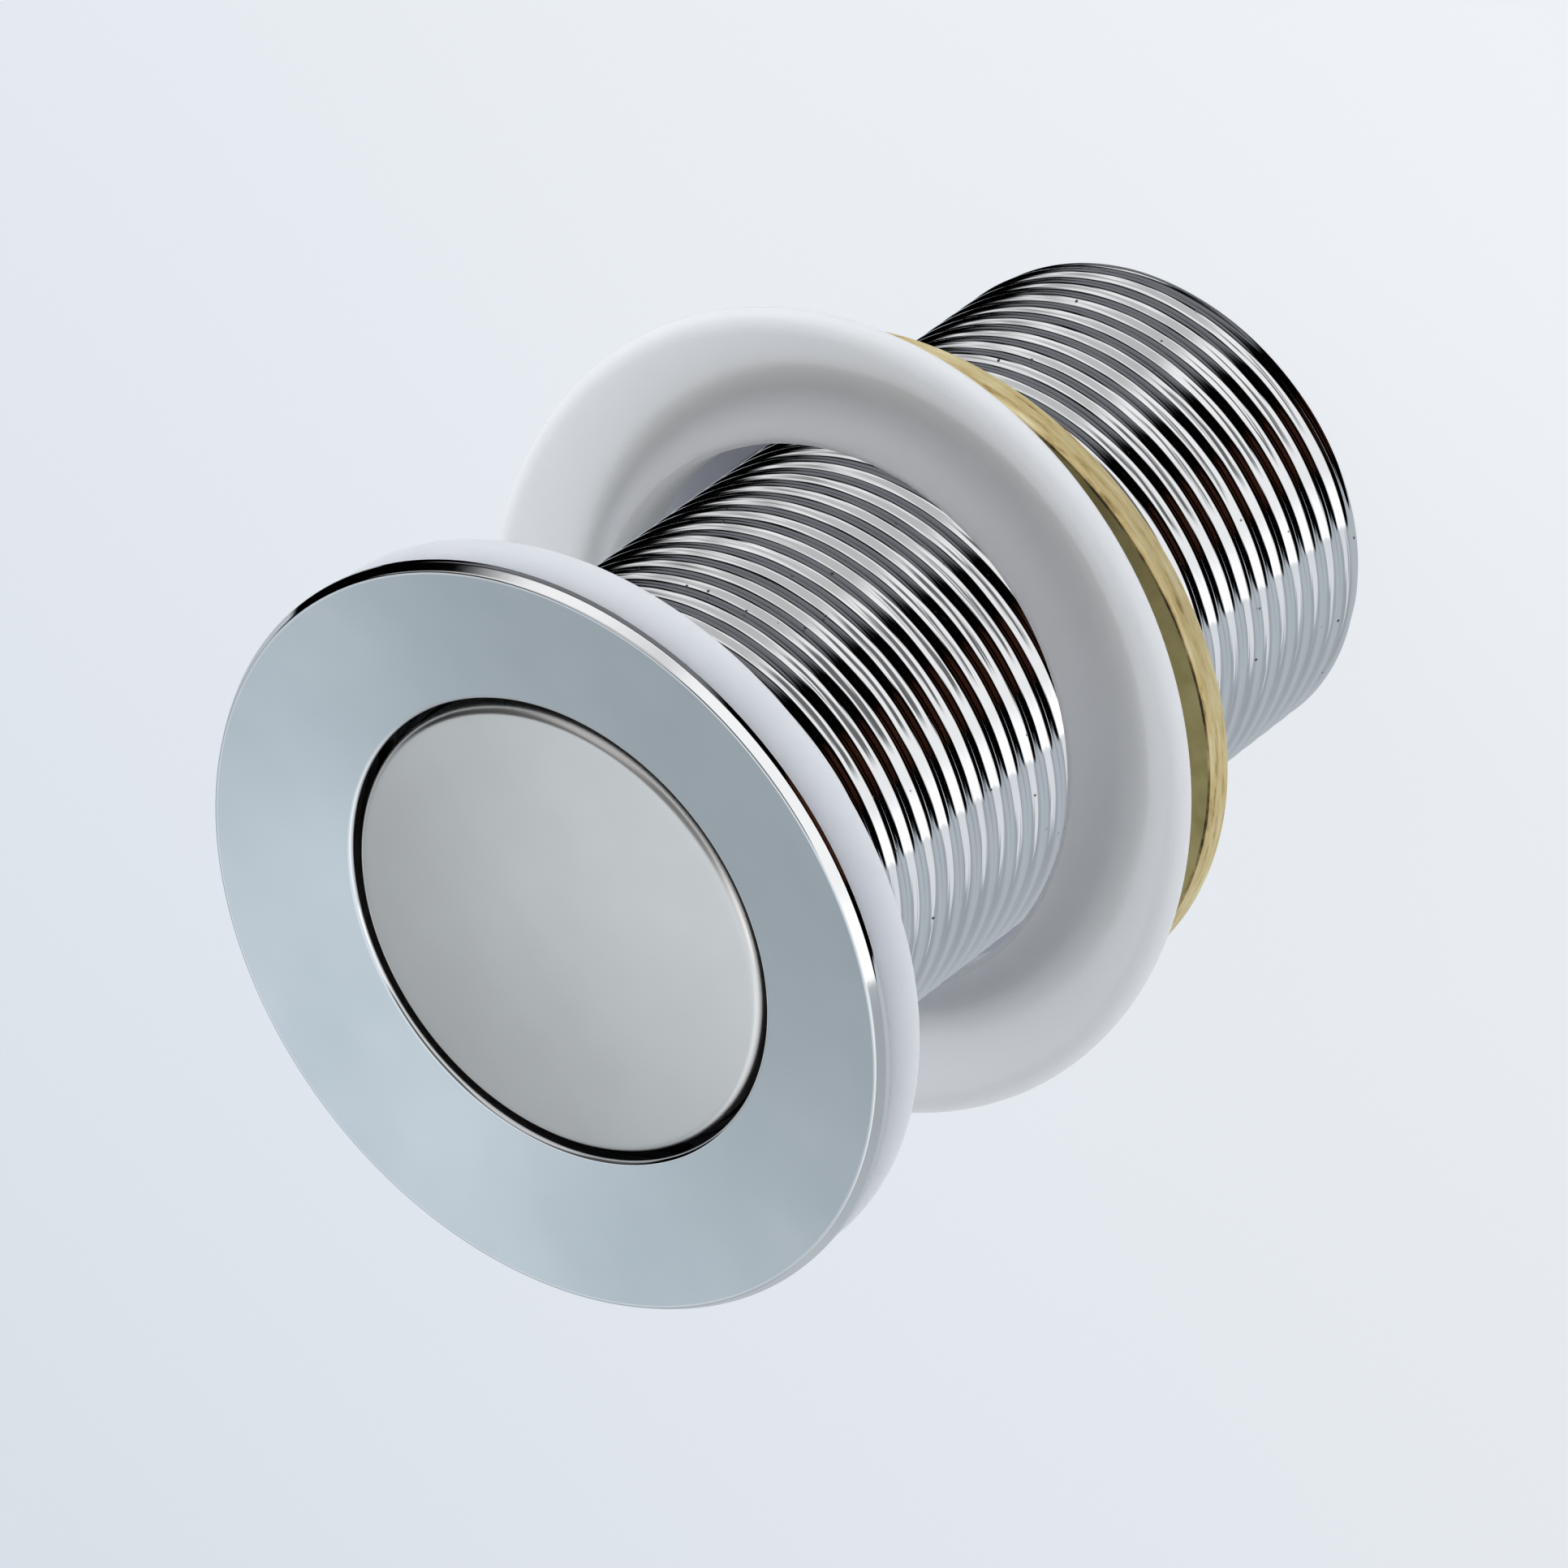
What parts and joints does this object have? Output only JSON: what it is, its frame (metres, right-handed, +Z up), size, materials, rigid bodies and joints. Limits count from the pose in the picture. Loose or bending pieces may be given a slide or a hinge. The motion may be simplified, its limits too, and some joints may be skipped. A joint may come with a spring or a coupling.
{
  "type": "pop up basin waste",
  "caption": "Push-to-open basin waste: dished chrome flange, flush domed plug on a cam cartridge, threaded tail, white gasket and dished washer, brass back nut.",
  "frame": {"origin": "centre of the outlet, at the end of the tail", "axes": "+Z up the tail to the flange, as it hangs in a basin; +X along the follower pins at rest"},
  "size_m": [0.066, 0.0659, 0.0824],
  "materials": {
    "chrome": "bright chrome on brass, satin on the flange face",
    "satin_chrome": "satin chrome on brass",
    "white_rubber": "smooth moulded white",
    "black_rubber": "matt moulded black",
    "turned_brass": "turned",
    "raw_brass": "raw casting, rim turned",
    "steel": "drawn stainless",
    "white_acetal": "moulded acetal"
  },
  "bodies": {
    "waste": {"waste_body": "chrome", "flange_gasket": "white_rubber", "cross_bridge": "turned_brass", "core_barrel": "turned_brass", "barrel_cap": "white_acetal", "barrel_oring": "black_rubber", "drum_axle": "steel", "thrust_washer": "steel", "axle_clip": "steel", "return_spring": "steel", "lock_washer": "steel", "core_lock_nut": "turned_brass"},
    "plug": {"plug_cap": "satin_chrome", "plug_carrier": "turned_brass", "plug_seal": "black_rubber", "plug_lock_nut": "turned_brass", "plunger": "turned_brass", "follower_pins": "steel"},
    "cam": {"cam_drum": "white_acetal"},
    "washer": {"basin_washer": "white_rubber"},
    "nut": {"back_nut": "raw_brass"}
  },
  "joints": [
    {"name": "plug_slide", "type": "slide", "parent": "waste", "child": "plug", "axis": [0, 0, 1], "range_m": [0, 0.008], "deforming": ["return_spring"]},
    {"name": "cam_turn", "type": "hinge", "parent": "waste", "child": "cam", "pos_m": [0, 0, 0.05], "axis": [0, 0, 1], "range_deg": [0, 90]},
    {"name": "washer_slide", "type": "slide", "parent": "waste", "child": "washer", "axis": [0, 0, 1], "range_m": [-0.0256, 0.0276]},
    {"name": "nut_turn", "type": "hinge", "parent": "washer", "child": "nut", "pos_m": [0, 0, 0.034], "axis": [0, 0, 1], "range_deg": [-3960, 4260]}
  ],
  "couplings": [
    {"joint": "cam_turn", "follows": "plug_slide", "rad_per_m": 196.34},
    {"joint": "washer_slide", "follows": "nut_turn", "m_per_rad": 0.00036749}
  ]
}
